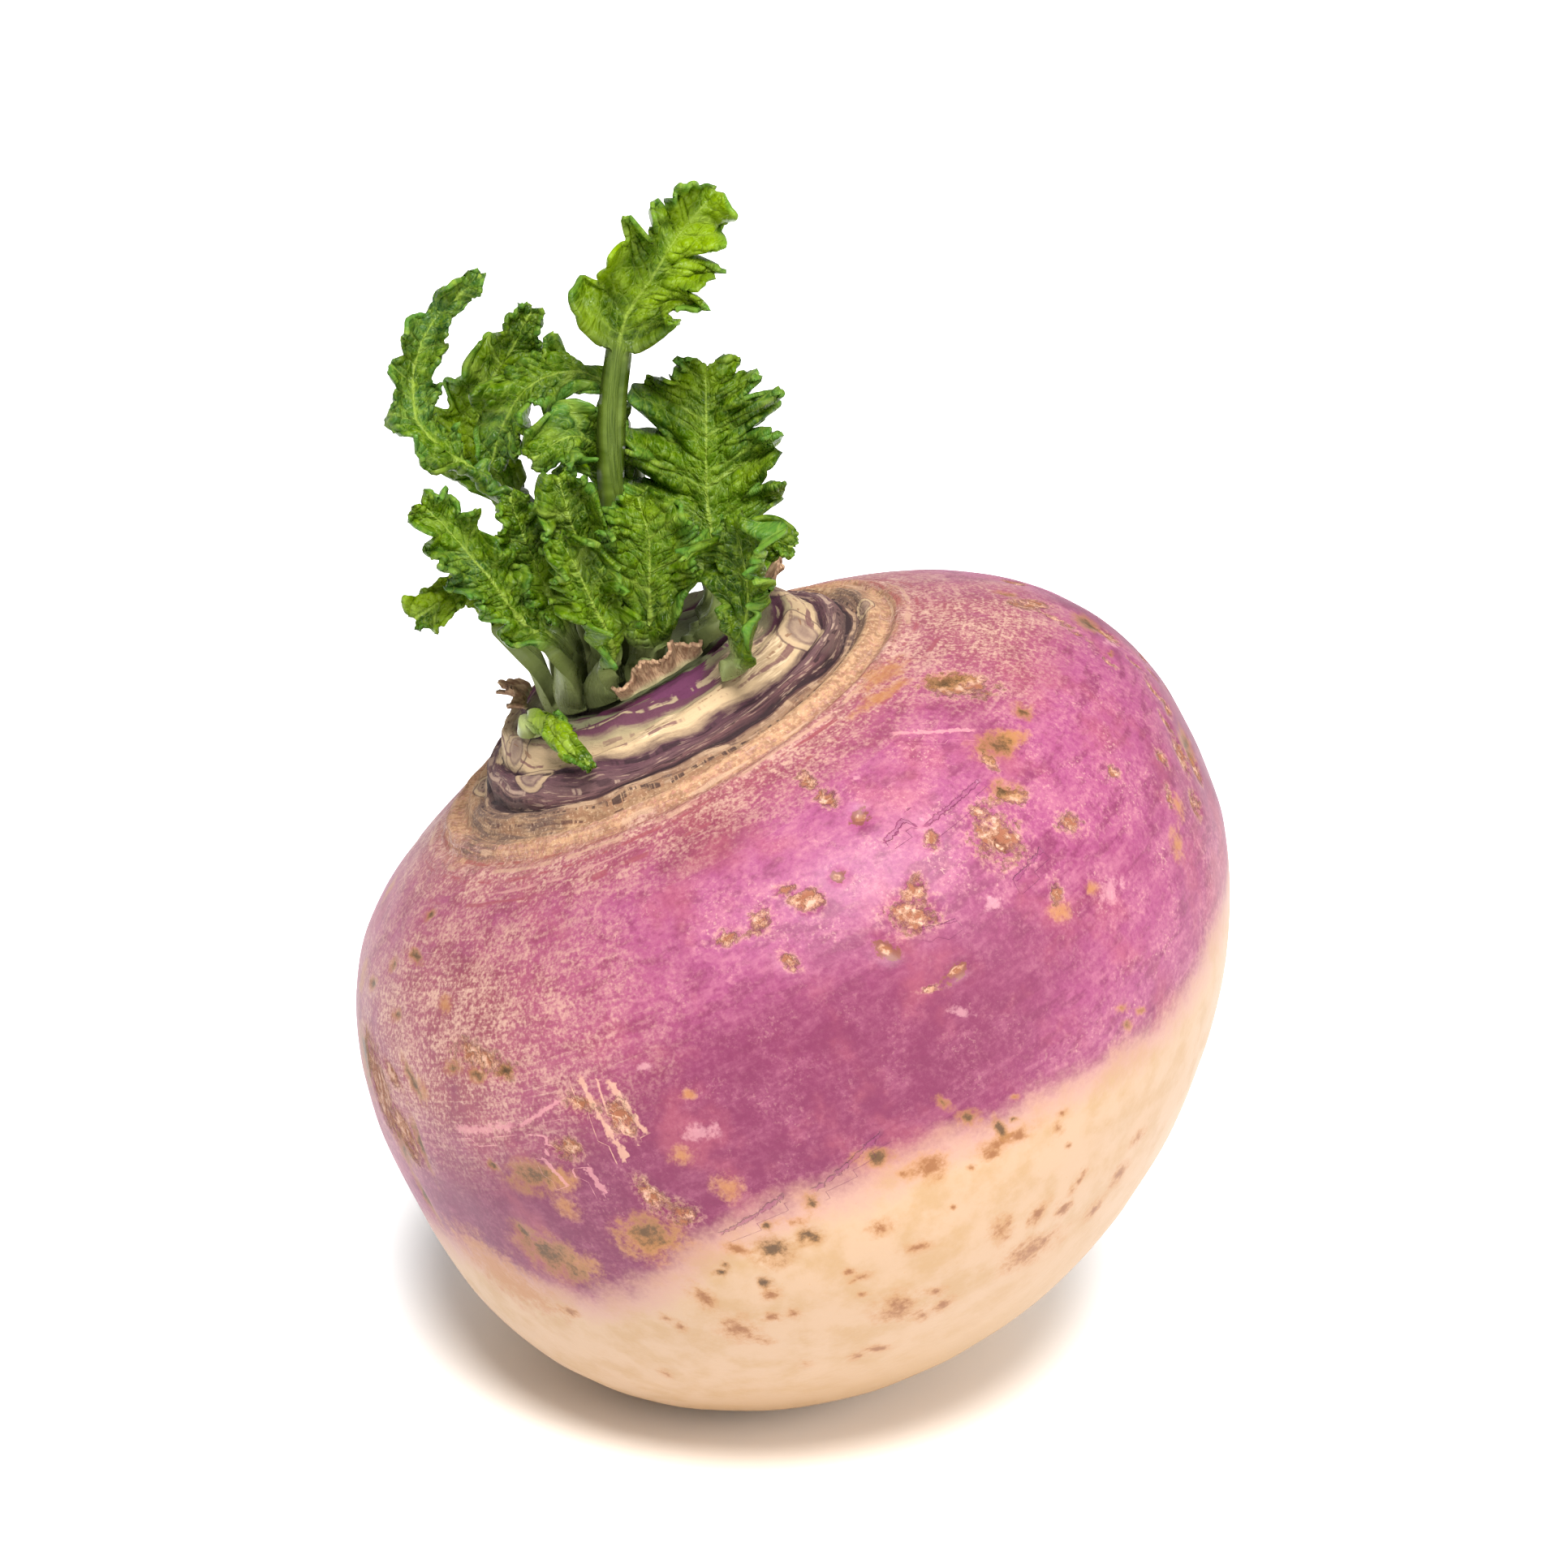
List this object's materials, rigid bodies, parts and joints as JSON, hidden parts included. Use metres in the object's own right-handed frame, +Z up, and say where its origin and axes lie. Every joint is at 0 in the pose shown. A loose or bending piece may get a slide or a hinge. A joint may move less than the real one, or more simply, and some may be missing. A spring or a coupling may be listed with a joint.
{
  "type": "turnip",
  "caption": "Purple-top turnip root, wide and slightly flattened, with a scarred corky crown and a tuft of short curly young leaves; it lies leaning on a small flat spot.",
  "frame": {"origin": "the middle of the flat spot under the root's flank, where the turnip touches the surface it lies on", "axes": "+Z up from the surface it lies on; the crown and leaves lean towards -X, and -Y faces the viewer"},
  "size_m": [0.0872, 0.0901, 0.1235],
  "materials": {
    "root": "satin",
    "leaf": "satin",
    "dry_scale": "matte"
  },
  "bodies": {
    "root": {"root": "root", "leaf_arched": "leaf", "leaf_drooping": "leaf", "leaf_far_left": "leaf", "leaf_front": "leaf", "leaf_front_left": "leaf", "leaf_front_right": "leaf", "leaf_inner": "leaf", "leaf_left_back": "leaf", "leaf_left_inner": "leaf", "leaf_left_lobe": "leaf", "leaf_left_low": "leaf", "leaf_middle": "leaf", "leaf_right": "leaf", "leaf_right_low": "leaf", "leaf_tall": "leaf", "dry_scale_front": "dry_scale", "dry_scale_left": "dry_scale", "dry_scale_right": "dry_scale"}
  },
  "joints": []
}
